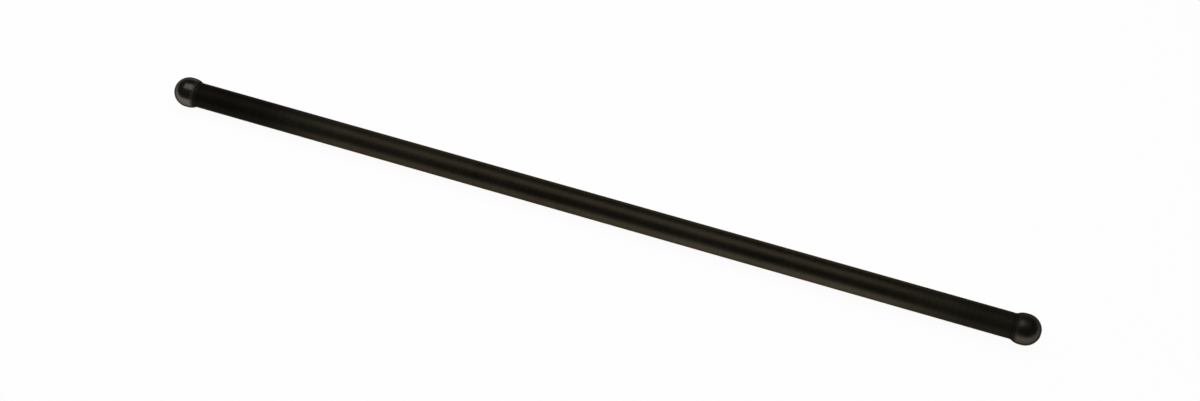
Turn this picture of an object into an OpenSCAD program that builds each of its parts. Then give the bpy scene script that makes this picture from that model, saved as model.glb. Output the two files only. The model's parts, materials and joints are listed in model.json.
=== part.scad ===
// Engine pushrod: a hollow steel tube with a hardened ball end pressed into each of its ends.
// It carries the lift of the cam from the lifter to the rocker arm, and oil runs through it
// from ball to ball. The rod lies along X, with its middle at the origin.

/* [Rod] */
// Length over both ends, across the rims of the oil holes
overall_length = 277; // [160:1:340]

/* [Tube] */
// Outside diameter of the tube
tube_d = 7.9375; // [6.5:0.0125:8.8]
// Wall of the tube
tube_wall = 1.65; // [1.2:0.05:2.1]
// Chamfer round the outside of each tube end
tube_edge = 0.15; // [0.05:0.05:0.4]
// Chamfer at each mouth of the tube's bore, which guides the shank in
bore_lead = 0.4; // [0.3:0.05:0.7]

/* [Ball end] */
// Diameter of the ball
ball_d = 9.525; // [9:0.025:12]
// Width of the straight belt round the middle of the ball
belt_w = 0.7; // [0.2:0.1:3]
// Radius of the blend from the back of the ball to the neck
neck_fillet = 0.8; // [0.2:0.1:3]
// Length of the straight neck between that blend and the tube
neck_length = 0.5; // [0.4:0.1:3]
// Chamfer round the shoulder that seats on the tube's end
shoulder_edge = 0.15; // [0.05:0.05:0.35]
// Length of the shank inside the tube
shank_length = 9; // [5:0.5:16]
// Chamfer on the tail of the shank
shank_lead = 0.4; // [0.1:0.05:0.6]

/* [Oil way] */
// Diameter of the oil hole drilled through each ball end
oil_hole_d = 2; // [1.2:0.1:2.6]
// Broken edge round the mouth of the oil hole
mouth_edge = 0.3; // [0.1:0.05:0.8]

/* [Fits] */
// Radial gap between the shank and the tube's bore, none on a press fit
shank_gap = 0; // [0:0.005:0.05]
// Gap between the bore's lead-in chamfer and the fillet at the root of the shank
root_gap = 0.15; // [0.05:0.05:0.2]

/* [Hidden] */
$fn = 96;
oxide_black = "#2a2927";
ball_black = "#1b1a1a";

tube_r = tube_d / 2;
bore_r = tube_r - tube_wall;
ball_r = ball_d / 2;
hole_r = oil_hole_d / 2;
shank_r = bore_r - shank_gap;
root_fillet = bore_lead - root_gap;

// Heights along a ball end's own axis, from its shoulder out to the tip
blend_reach = sqrt(pow(ball_r + neck_fillet, 2) - pow(tube_r + neck_fillet, 2));
back_centre = neck_length + blend_reach;
nose_centre = back_centre + belt_w;
mouth_r = hole_r + mouth_edge;
tip = nose_centre + sqrt(pow(ball_r, 2) - pow(mouth_r, 2));

tube_length = overall_length - 2 * tip;
// How far a cut runs past the surface that it opens
overrun = 1;

// Half section of the tube wall, with the tube's middle at height 0
module tube_section() {
    end = tube_length / 2;
    polygon([
        [bore_r, bore_lead - end],
        [bore_r + bore_lead, -end],
        [tube_r - tube_edge, -end],
        [tube_r, tube_edge - end],
        [tube_r, end - tube_edge],
        [tube_r - tube_edge, end],
        [bore_r + bore_lead, end],
        [bore_r, end - bore_lead]
    ]);
}

// Ball with its straight belt, none of it below the shoulder
module ball_section() {
    intersection() {
        union() {
            translate([0, nose_centre]) circle(ball_r);
            translate([0, back_centre]) circle(ball_r);
            translate([0, back_centre]) square([ball_r, belt_w]);
        }
        square([ball_d, tip + overrun]);
    }
}

// Shoulder and neck at the tube's diameter, blended into the back of the ball
module neck_section() {
    polygon([
        [0, 0],
        [tube_r - shoulder_edge, 0],
        [tube_r, shoulder_edge],
        [tube_r, neck_length],
        [0, neck_length]
    ]);
    difference() {
        polygon([[0, neck_length], [tube_r + neck_fillet, neck_length], [0, back_centre]]);
        translate([tube_r + neck_fillet, neck_length]) circle(neck_fillet);
    }
}

// Shank that the tube's bore grips, with a fillet at its root
module shank_section() {
    polygon([
        [0, -shank_length],
        [shank_r - shank_lead, -shank_length],
        [shank_r, shank_lead - shank_length],
        [shank_r, 0],
        [0, 0]
    ]);
    difference() {
        translate([shank_r, -root_fillet]) square(root_fillet);
        translate([shank_r + root_fillet, -root_fillet]) circle(root_fillet);
    }
}

// Oil hole along the axis, opening through a broken edge at the tip
module oil_way_section() {
    tail = -shank_length - overrun;
    polygon([
        [-ball_d, tail],
        [hole_r, tail],
        [hole_r, tip - mouth_edge],
        [mouth_r + overrun, tip + overrun],
        [-ball_d, tip + overrun]
    ]);
}

// One ball end standing on its shoulder, with the tip up and the shank below
module ball_end() {
    color(ball_black)
        rotate_extrude()
            difference() {
                union() {
                    ball_section();
                    neck_section();
                    shank_section();
                }
                oil_way_section();
            }
}

module tube() {
    color(oxide_black)
        rotate([0, 90, 0])
            rotate_extrude()
                tube_section();
}

module rocker_ball_end() {
    translate([tube_length / 2, 0, 0])
        rotate([0, 90, 0])
            ball_end();
}

module lifter_ball_end() {
    translate([-tube_length / 2, 0, 0])
        rotate([0, -90, 0])
            ball_end();
}

tube();
rocker_ball_end();
lifter_ball_end();
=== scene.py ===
import json
import math
from types import SimpleNamespace

import bmesh
import bpy
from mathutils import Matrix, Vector


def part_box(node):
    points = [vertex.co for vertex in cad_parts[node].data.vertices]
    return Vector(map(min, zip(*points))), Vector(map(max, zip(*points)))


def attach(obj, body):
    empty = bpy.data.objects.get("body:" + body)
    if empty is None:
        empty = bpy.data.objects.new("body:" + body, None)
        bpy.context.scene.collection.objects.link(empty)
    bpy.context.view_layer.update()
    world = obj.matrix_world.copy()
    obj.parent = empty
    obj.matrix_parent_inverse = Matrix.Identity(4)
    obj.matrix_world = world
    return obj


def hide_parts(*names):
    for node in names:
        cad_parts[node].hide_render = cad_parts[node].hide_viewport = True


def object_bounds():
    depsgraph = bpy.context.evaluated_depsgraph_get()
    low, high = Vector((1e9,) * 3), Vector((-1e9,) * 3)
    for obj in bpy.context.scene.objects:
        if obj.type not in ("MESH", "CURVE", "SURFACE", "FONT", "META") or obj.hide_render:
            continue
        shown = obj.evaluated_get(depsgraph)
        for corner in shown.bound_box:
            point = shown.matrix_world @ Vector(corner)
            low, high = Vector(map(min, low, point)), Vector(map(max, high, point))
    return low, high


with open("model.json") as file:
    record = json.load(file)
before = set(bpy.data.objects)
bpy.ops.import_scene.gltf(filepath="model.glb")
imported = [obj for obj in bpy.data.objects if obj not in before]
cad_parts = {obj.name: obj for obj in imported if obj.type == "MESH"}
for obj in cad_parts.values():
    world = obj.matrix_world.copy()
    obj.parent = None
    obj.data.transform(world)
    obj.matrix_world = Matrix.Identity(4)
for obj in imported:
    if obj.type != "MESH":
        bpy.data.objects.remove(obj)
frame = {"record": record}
cad_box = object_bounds()

# Tube
# The shaft of the rod: seamless steel tube, drawn, centreless ground and then blackened and oiled.
# Its ends are faced square and chamfered inside and out for the ball ends that are pressed into it.

MM = 0.001
tube_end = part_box("tube")[1].x
tube_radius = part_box("tube")[1].z
tube_wall = 1.65 * MM
bore_radius = tube_radius - tube_wall
tube_edge = 0.15 * MM
bore_lead = 0.4 * MM

# How finely a piece is turned: the sides round it, and the gap between rings on a long run
SIDES = 160
RING_PITCH = 6 * MM
# A corner that turns more than this is rounded, over a third of the shorter run beside it at most
SHARP_TURN = math.radians(20)
EDGE_RADIUS = 0.03 * MM
EDGE_STEPS = 4
EDGE_SHARE = 1 / 3
# A point this many times as far from the corner as the end of its rounding holds the flat beside it
HOLD_REACH = 1.4
# Bare rim of each row of the map that a piece's skin is unrolled on, as a share of the row
MAP_RIM = 0.04


def with_next(run):
    """Each item of a closed run beside the one that follows it."""
    return zip(run, run[1:] + run[:1])


def softened(outline):
    """The closed outline with each sharp corner rounded off, as a stoned edge is.

    A point on each side of a rounding keeps the shading of the flats beside it even.
    """
    points = [Vector(point) for point in outline]
    for before, (corner, after) in zip(points[-1:] + points[:-1], with_next(points)):
        back = before - corner
        ahead = after - corner
        turn = math.pi - back.angle(ahead)
        if turn < SHARP_TURN:
            yield corner
            continue
        room = EDGE_SHARE * min(back.length, ahead.length)
        reach = min(EDGE_RADIUS * math.tan(turn / 2), room)
        start = corner + back.normalized() * reach
        stop = corner + ahead.normalized() * reach
        yield corner.lerp(start, HOLD_REACH)
        for step in range(EDGE_STEPS + 1):
            share = step / EDGE_STEPS
            yield start.lerp(corner, share).lerp(corner.lerp(stop, share), share)
        yield corner.lerp(stop, HOLD_REACH)


def inset(share):
    """A place on a row of the map, inside the row's bare rim."""
    return MAP_RIM + (1 - 2 * MAP_RIM) * share


def turned(name, outline, map_rows):
    """A piece turned about the rod's axis from a closed outline of (along, out) points.

    Its skin is unrolled in that many rows onto a map for baking, each ring by its share of the area.
    """
    profile = []
    for point, after in with_next(list(softened(outline))):
        pieces = max(1, round((after - point).length / RING_PITCH))
        profile.extend(point.lerp(after, step / pieces) for step in range(pieces))
    skins = [(after - point).length * (after.y + point.y) for point, after in with_next(profile)]
    whole_skin = sum(skins)

    shape = bmesh.new()
    skin_map = shape.loops.layers.uv.new("OFBake")
    angles = [math.tau * side / SIDES for side in range(SIDES)]
    rings = [
        [shape.verts.new((along, out * math.cos(angle), out * math.sin(angle))) for angle in angles]
        for along, out in profile
    ]
    stop = 0.0
    for (ring, after), skin in zip(with_next(rings), skins):
        start = stop
        stop = start + map_rows * skin / whole_skin
        row = int((start + stop) / 2)
        for side in range(SIDES):
            beside = (side + 1) % SIDES
            face = shape.faces.new((ring[side], ring[beside], after[beside], after[side]))
            face.smooth = True
            corners = ((start, side), (start, side + 1), (stop, side + 1), (stop, side))
            for loop, (reach, turn) in zip(face.loops, corners):
                loop[skin_map].uv = (inset(reach - row), (row + inset(turn / SIDES)) / map_rows)
    bmesh.ops.recalc_face_normals(shape, faces=shape.faces)
    mesh = bpy.data.meshes.new(name)
    shape.to_mesh(mesh)
    shape.free()
    piece = bpy.data.objects.new(name, mesh)
    bpy.context.scene.collection.objects.link(piece)
    return piece


def half_outline(end):
    """The tube wall's corners at one end, with end as the direction along X, from the bore outwards."""
    return [
        (end * (tube_end - bore_lead), bore_radius),
        (end * tube_end, bore_radius + bore_lead),
        (end * tube_end, tube_radius - tube_edge),
        (end * (tube_end - tube_edge), tube_radius),
    ]


tube = turned("blackened_tube", half_outline(1) + half_outline(-1)[::-1], map_rows=4)


def fill(tree, socket, value):
    """Links a socket to another node's output, or sets it to a plain value."""
    if isinstance(value, bpy.types.NodeSocket):
        tree.links.new(value, socket)
    else:
        socket.default_value = value


def feed(tree, node, **inputs):
    """Fills a node's inputs by name, with _ for a space, and gives the node back."""
    for name, value in inputs.items():
        fill(tree, node.inputs[name.replace("_", " ")], value)
    return node


def place(tree, kind, **inputs):
    """Adds a node of that kind with its inputs."""
    return feed(tree, tree.nodes.new("ShaderNode" + kind), **inputs)


def reckon(tree, operation, *values):
    """A sum on values or sockets, such as MULTIPLY or ADD, and its result."""
    added = tree.nodes.new("ShaderNodeMath")
    added.operation = operation
    for socket, value in zip(added.inputs, values):
        fill(tree, socket, value)
    return added.outputs["Value"]


def between(tree, value, low, high, at_low, at_high):
    """A smooth change from at_low to at_high as value goes from low to high."""
    limits = {"From_Min": low, "From_Max": high, "To_Min": at_low, "To_Max": at_high}
    change = place(tree, "MapRange", Value=value, **limits)
    change.interpolation_type = "SMOOTHSTEP"
    return change.outputs["Result"]


# Noise keeps close to its middle, and this much of its range is spread over the whole
NOISE_LOW = 0.3
NOISE_HIGH = 0.7


def patches(tree, spot, scale, detail):
    """Noise over the surface, with that many patches to the metre, spread from 0 to 1."""
    noise = place(tree, "TexNoise", Vector=spot, Scale=scale, Detail=detail).outputs["Fac"]
    spread = place(tree, "MapRange", Value=noise, From_Min=NOISE_LOW, From_Max=NOISE_HIGH)
    return spread.outputs["Result"]


def new_effect(name, inputs, outputs):
    """A shader node group with named sockets, what it is given, and the node that its results go to."""
    tree = bpy.data.node_groups.new(name, "ShaderNodeTree")
    for socket, kind in inputs:
        tree.interface.new_socket(socket, in_out="INPUT", socket_type="NodeSocket" + kind)
    for socket, kind in outputs:
        tree.interface.new_socket(socket, in_out="OUTPUT", socket_type="NodeSocket" + kind)
    return tree, tree.nodes.new("NodeGroupInput").outputs, tree.nodes.new("NodeGroupOutput")


def apply_effect(tree, effect, **inputs):
    """Places an effect in a material with its own values, and gives its outputs."""
    added = tree.nodes.new("ShaderNodeGroup")
    added.node_tree = effect
    return feed(tree, added, **inputs).outputs


# Grinding and lapping leave fine lines round the piece, broken up along each turn.
LINE_DETAIL = 3.0
lines, given, result = new_effect(
    "grinding lines",
    [("Spot", "Vector"), ("Across", "Float"), ("Along", "Float")],
    [("Height", "Float")],
)
where = place(lines, "SeparateXYZ", Vector=given["Spot"]).outputs
stretched = place(
    lines,
    "CombineXYZ",
    X=reckon(lines, "MULTIPLY", where["X"], given["Across"]),
    Y=reckon(lines, "MULTIPLY", where["Y"], given["Along"]),
    Z=reckon(lines, "MULTIPLY", where["Z"], given["Along"]),
)
feed(lines, result, Height=patches(lines, stretched.outputs["Vector"], scale=1.0, detail=LINE_DETAIL))

# Black oxide grows unevenly on the steel, in cloudy patches with a fine grain over them, and the tops
# of the grinding lines show through it. It goes from a dull colour to a bright one by the mask it is
# given, which on the shaft paints sheen. Clouds, grain and lines each average a half.
CLOUD_DETAIL = 4.0
GRAIN_DETAIL = 2.0
AVERAGE_OF_ALL = 3 * 0.5
oxide, given, result = new_effect(
    "black oxide",
    [
        ("Spot", "Vector"),
        ("Cloud Scale", "Float"),
        ("Grain Scale", "Float"),
        ("Lines", "Float"),
        ("Unevenness", "Float"),
        ("Rubbed", "Float"),
        ("Dull", "Color"),
        ("Bright", "Color"),
    ],
    [("Colour", "Color"), ("Cloud", "Float"), ("Grain", "Float")],
)
cloud = patches(oxide, given["Spot"], given["Cloud Scale"], CLOUD_DETAIL)
grain = patches(oxide, given["Spot"], given["Grain Scale"], GRAIN_DETAIL)
patchy = reckon(oxide, "ADD", reckon(oxide, "ADD", cloud, grain), given["Lines"])
patchy = reckon(oxide, "SUBTRACT", patchy, AVERAGE_OF_ALL)
strength = reckon(oxide, "MULTIPLY_ADD", patchy, given["Unevenness"], 1.0)
tone = oxide.nodes.new("ShaderNodeMix")
tone.data_type = "RGBA"
feed(oxide, tone, Factor=given["Rubbed"], A=given["Dull"], B=given["Bright"])
patched = place(oxide, "HueSaturation", Color=tone.outputs["Result"], Value=strength)
feed(oxide, result, Colour=patched.outputs["Color"], Cloud=cloud, Grain=grain)

# Where the mask is none, the film is part oxide and part the metal under it, and it mirrors little by
# itself.
FILM_METAL = 0.6
FILM_SHINE = 0.02


def blackened(name, sheen_mask, look):
    """A material of black oxide on ground steel, from dull to bright by the mask it is given, which paints
    sheen on the shaft.
    """
    material = bpy.data.materials.new(name)
    material.use_nodes = True
    tree = material.node_tree
    spot = place(tree, "TexCoord").outputs["Object"]
    sheen = sheen_mask(tree, place(tree, "SeparateXYZ", Vector=spot).outputs["X"])
    ground = apply_effect(tree, lines, Spot=spot, Across=look.lines_across, Along=look.lines_along)
    film = apply_effect(
        tree,
        oxide,
        Spot=spot,
        Cloud_Scale=look.clouds,
        Grain_Scale=look.grains,
        Lines=ground["Height"],
        Unevenness=look.unevenness,
        Rubbed=sheen,
        Dull=look.dull,
        Bright=look.bright,
    )
    roughness = between(tree, sheen, 0.0, 1.0, look.dull_roughness, look.bright_roughness)
    roughness = reckon(tree, "MULTIPLY_ADD", film["Cloud"], look.cloud_roughness, roughness)
    roughness = reckon(tree, "MULTIPLY_ADD", film["Grain"], look.grain_roughness, roughness)
    roughness = reckon(tree, "MULTIPLY_ADD", ground["Height"], look.line_roughness, roughness)
    relief = reckon(tree, "MULTIPLY_ADD", film["Grain"], look.grain_relief, ground["Height"])
    bump = place(tree, "Bump", Strength=look.relief_strength, Distance=look.relief_depth, Height=relief)
    feed(
        tree,
        tree.nodes["Principled BSDF"],
        Base_Color=film["Colour"],
        Metallic=between(tree, sheen, 0.0, 1.0, FILM_METAL, look.bright_metal),
        Roughness=roughness,
        Specular_IOR_Level=FILM_SHINE,
        Specular_Tint=look.edge_tint,
        Normal=bump.outputs["Normal"],
    )
    return material


# Painted sheen: the shaft's film is darker and less metallic at both ends and brighter between them, most
# of all near the rocker's end, so that its reflections are painted weaker at the ends and strongest towards
# the rocker.
lifter_sheen_low = -108 * MM
lifter_sheen_high = -80 * MM
lifter_sheen_share = 0.70
rocker_sheen_high = 84 * MM
rocker_sheen_low = 124 * MM
rocker_sheen_share = 0.15


def shaft_painted_sheen(tree, along):
    """How much sheen is painted on the shaft's film, from 0 to 1, by the place along the rod."""
    sheen = between(tree, along, lifter_sheen_low, lifter_sheen_high, 0.0, lifter_sheen_share)
    rise = between(tree, along, lifter_sheen_high, rocker_sheen_high, 0.0, 1.0 - lifter_sheen_share)
    kept = between(tree, along, rocker_sheen_high, rocker_sheen_low, 1.0, rocker_sheen_share)
    return reckon(tree, "MULTIPLY", reckon(tree, "ADD", sheen, rise), kept)


# Clouds, grains and lines are counted to the metre, and edge_tint is the shine that is left at a low angle.
tube_look = SimpleNamespace(
    dull=(0.0115, 0.0102, 0.0077, 1.0),
    bright=(0.059, 0.0507, 0.0348, 1.0),
    edge_tint=(0.45, 0.42, 0.375, 1.0),
    bright_metal=0.96,
    clouds=45.0,
    grains=3200.0,
    lines_across=3600.0,
    lines_along=110.0,
    unevenness=0.3,
    dull_roughness=0.345,
    bright_roughness=0.345,
    cloud_roughness=0.06,
    grain_roughness=0.06,
    line_roughness=0.07,
    grain_relief=0.25,
    relief_strength=0.6,
    relief_depth=0.02 * MM,
)
# The shaft's film takes the mask that paints its sheen.
tube.data.materials.append(blackened("satin black oxide", shaft_painted_sheen, tube_look))
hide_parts("tube")
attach(tube, "root")

# Ball ends
# Two tips turned from bar, hardened, lapped and blackened: a round nose with a narrow belt, a neck that
# seats on the tube's end, a shank pressed into the bore, and an oil hole drilled through the middle.

ball_low, ball_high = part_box("rocker_ball_end")
oil_hole = next(mount for mount in frame["record"]["mounts"] if mount["name"] == "rocker_oil_hole")
ball_radius = ball_high.z
tip = ball_high.x - tube_end
shank_length = tube_end - ball_low.x
hole_radius = oil_hole["dims"]["r_mm"] * MM
mouth_edge = 0.3 * MM
belt_width = 0.7 * MM
neck_blend = 0.8 * MM
neck_length = 0.5 * MM
shoulder_edge = 0.15 * MM
shank_lead = 0.4 * MM
root_blend = 0.25 * MM

NOSE_STEPS = 64
BACK_STEPS = 24
BLEND_STEPS = 12

mouth_radius = hole_radius + mouth_edge
blend_centre = tube_radius + neck_blend
blend_reach = math.sqrt((ball_radius + neck_blend) ** 2 - blend_centre**2)
back_centre = neck_length + blend_reach
nose_centre = back_centre + belt_width
mouth_angle = math.asin(mouth_radius / ball_radius)
blend_angle = math.atan2(blend_centre, -blend_reach)
right_angle = math.pi / 2


def arc(along, out, radius, start, stop, steps):
    """Points on an arc about (along, out), from the angle start to stop, in radians from the axis."""
    angles = [start + (stop - start) * step / steps for step in range(steps + 1)]
    return [(along + radius * math.cos(angle), out + radius * math.sin(angle)) for angle in angles]


# A tip's outline, measured along the rod from the tube's end: out over the ball, in over the neck and
# the shank, and back through the oil hole
ball_outline = [
    *arc(nose_centre, 0, ball_radius, mouth_angle, right_angle, NOSE_STEPS),
    *arc(back_centre, 0, ball_radius, right_angle, blend_angle, BACK_STEPS),
    *arc(neck_length, blend_centre, neck_blend, blend_angle - math.pi, -right_angle, BLEND_STEPS)[1:],
    (shoulder_edge, tube_radius),
    (0, tube_radius - shoulder_edge),
    *arc(-root_blend, bore_radius + root_blend, root_blend, 0, -right_angle, BLEND_STEPS),
    (shank_lead - shank_length, bore_radius),
    (-shank_length, bore_radius - shank_lead),
    (-shank_length, hole_radius),
    (tip - mouth_edge, hole_radius),
]

# A tip is glossy and bright to a little behind the middle of its ball, and darker and satin over its back
# and neck.
sheen_reach = 1.0 * MM
sheen_fade = 1.5 * MM
sheen_full = tube_end + back_centre - sheen_reach
sheen_none = sheen_full - sheen_fade


def tip_sheen(tree, along):
    """How glossy and bright a tip's film is, from 0 to 1, by the place along the rod."""
    return between(tree, reckon(tree, "ABSOLUTE", along), sheen_none, sheen_full, 0.0, 1.0)


def tip_oxide(name, bright, roughness):
    """Black oxide over a turned tip, with the colour and roughness of its glossy nose."""
    look = SimpleNamespace(
        dull=(0.016, 0.0148, 0.0125, 1.0),
        bright=bright,
        edge_tint=(0.28, 0.27, 0.25, 1.0),
        bright_metal=0.95,
        clouds=180.0,
        grains=4000.0,
        lines_across=6000.0,
        lines_along=150.0,
        unevenness=0.18,
        dull_roughness=0.39,
        bright_roughness=roughness,
        cloud_roughness=0.05,
        grain_roughness=0.04,
        line_roughness=0.02,
        grain_relief=0.3,
        relief_strength=0.4,
        relief_depth=0.006 * MM,
    )
    return blackened(name, tip_sheen, look)


# The two tips share one finish in two copies: the rocker's is darker, as painted shade, and the lifter's
# brighter, as painted light, and the rocker's nose is also rougher.
ball_ends = (
    ("rocker", 1, tip_oxide("shaded rocker ball oxide", bright=(0.071, 0.064, 0.052, 1.0), roughness=0.29)),
    ("lifter", -1, tip_oxide("lit lifter ball oxide", bright=(0.118, 0.1095, 0.0955, 1.0), roughness=0.18)),
)
for end, direction, finish in ball_ends:
    outline = [(direction * (tube_end + along), out) for along, out in ball_outline]
    ball_end = turned(f"{end}_ball_tip", outline, map_rows=1)
    ball_end.data.materials.append(finish)
    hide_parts(f"{end}_ball_end")
    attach(ball_end, "root")

# Studio
# A plain white sheet under the rod in a dim room with low grey walls, a soft box close above the rod and
# a wide ceiling light that fills the shade. The camera looks steeply down from the rocker's side.

floor_reach = 6.0
floor_white = (0.9, 0.9, 0.9, 1.0)
floor_glow = 0.95
floor_level = cad_box[0].z
wall_height = 0.95
wall_grey = 0.3
room_white = (1.0, 1.0, 1.0, 1.0)
room_level = 0.02

corner_ways = ((-1, -1), (1, -1), (1, 1), (-1, 1))
corners = [(east * floor_reach, north * floor_reach) for east, north in corner_ways]
# The corners' numbers, round the floor and the foot of the walls
foot = list(range(len(corners)))


def stage_piece(name, points, faces):
    """A piece of the stage, and the emptied node tree of its material."""
    mesh = bpy.data.meshes.new(name)
    mesh.from_pydata(points, [], faces)
    piece = bpy.data.objects.new(name, mesh)
    bpy.context.scene.collection.objects.link(piece)
    material = bpy.data.materials.new(name)
    material.use_nodes = True
    material.node_tree.nodes.clear()
    mesh.materials.append(material)
    return material.node_tree


# The floor is white as seen and as mirrored, and takes a little of the rod's shadow.
tree = stage_piece("floor", [(x, y, floor_level) for x, y in corners], [foot])
rays = place(tree, "LightPath").outputs
seen = reckon(tree, "MAXIMUM", rays["Is Glossy Ray"], rays["Is Transmission Ray"])
seen = reckon(tree, "MAXIMUM", rays["Is Camera Ray"], seen)
mixed = place(tree, "MixShader", Fac=reckon(tree, "MULTIPLY", seen, floor_glow))
tree.links.new(place(tree, "BsdfDiffuse", Color=floor_white).outputs["BSDF"], mixed.inputs[1])
tree.links.new(place(tree, "Emission", Strength=1.0).outputs["Emission"], mixed.inputs[2])
place(tree, "OutputMaterial", Surface=mixed.outputs["Shader"])

wall_points = [(x, y, floor_level + level) for level in (0, wall_height) for x, y in corners]
wall_faces = [(side, after, after + len(foot), side + len(foot)) for side, after in with_next(foot)]
tree = stage_piece("walls", wall_points, wall_faces)
glow = place(tree, "Emission", Strength=wall_grey)
place(tree, "OutputMaterial", Surface=glow.outputs["Emission"])

world = bpy.data.worlds.new("room")
bpy.context.scene.world = world
world.use_nodes = True
tree = world.node_tree
tree.nodes.clear()
room = place(tree, "Background", Color=room_white, Strength=room_level)
place(tree, "OutputWorld", Surface=room.outputs["Background"])


def soft_box(name, spot, size, radiance):
    """A rectangular lamp that faces straight down, with its brightness as a radiance."""
    lamp = bpy.data.lights.new(name, "AREA")
    lamp.shape = "RECTANGLE"
    lamp.size, lamp.size_y = size
    lamp.energy = radiance * math.pi * lamp.size * lamp.size_y
    box = bpy.data.objects.new(name, lamp)
    box.location = spot
    box.visible_camera = False
    bpy.context.scene.collection.objects.link(box)
    return box


soft_box("soft_box", spot=(-0.075, 0.065, 0.24), size=(0.41, 0.19), radiance=0.75)
ceiling = soft_box("ceiling", spot=(0.0, 0.0, 1.5), size=(2.0, 2.0), radiance=2.0)
ceiling.visible_glossy = False

# The photograph's view: the lens and the place that give the rod's outline and the floor's reflection in it
azimuth = math.radians(17.94)
elevation = math.radians(61.0)
distance = 0.4945
aim = Vector((2.30, 2.29, 0.80)) * MM
film_width = 36.0
lens = 48.6

camera = bpy.data.objects.new("camera", bpy.data.cameras.new("camera"))
camera.data.sensor_width = film_width
camera.data.lens = lens
camera.rotation_euler = (right_angle - elevation, 0.0, azimuth)
camera.location = aim + camera.rotation_euler.to_matrix() @ Vector((0.0, 0.0, distance))
bpy.context.scene.collection.objects.link(camera)
bpy.context.scene.camera = camera
bpy.context.scene.view_settings.view_transform = "Standard"
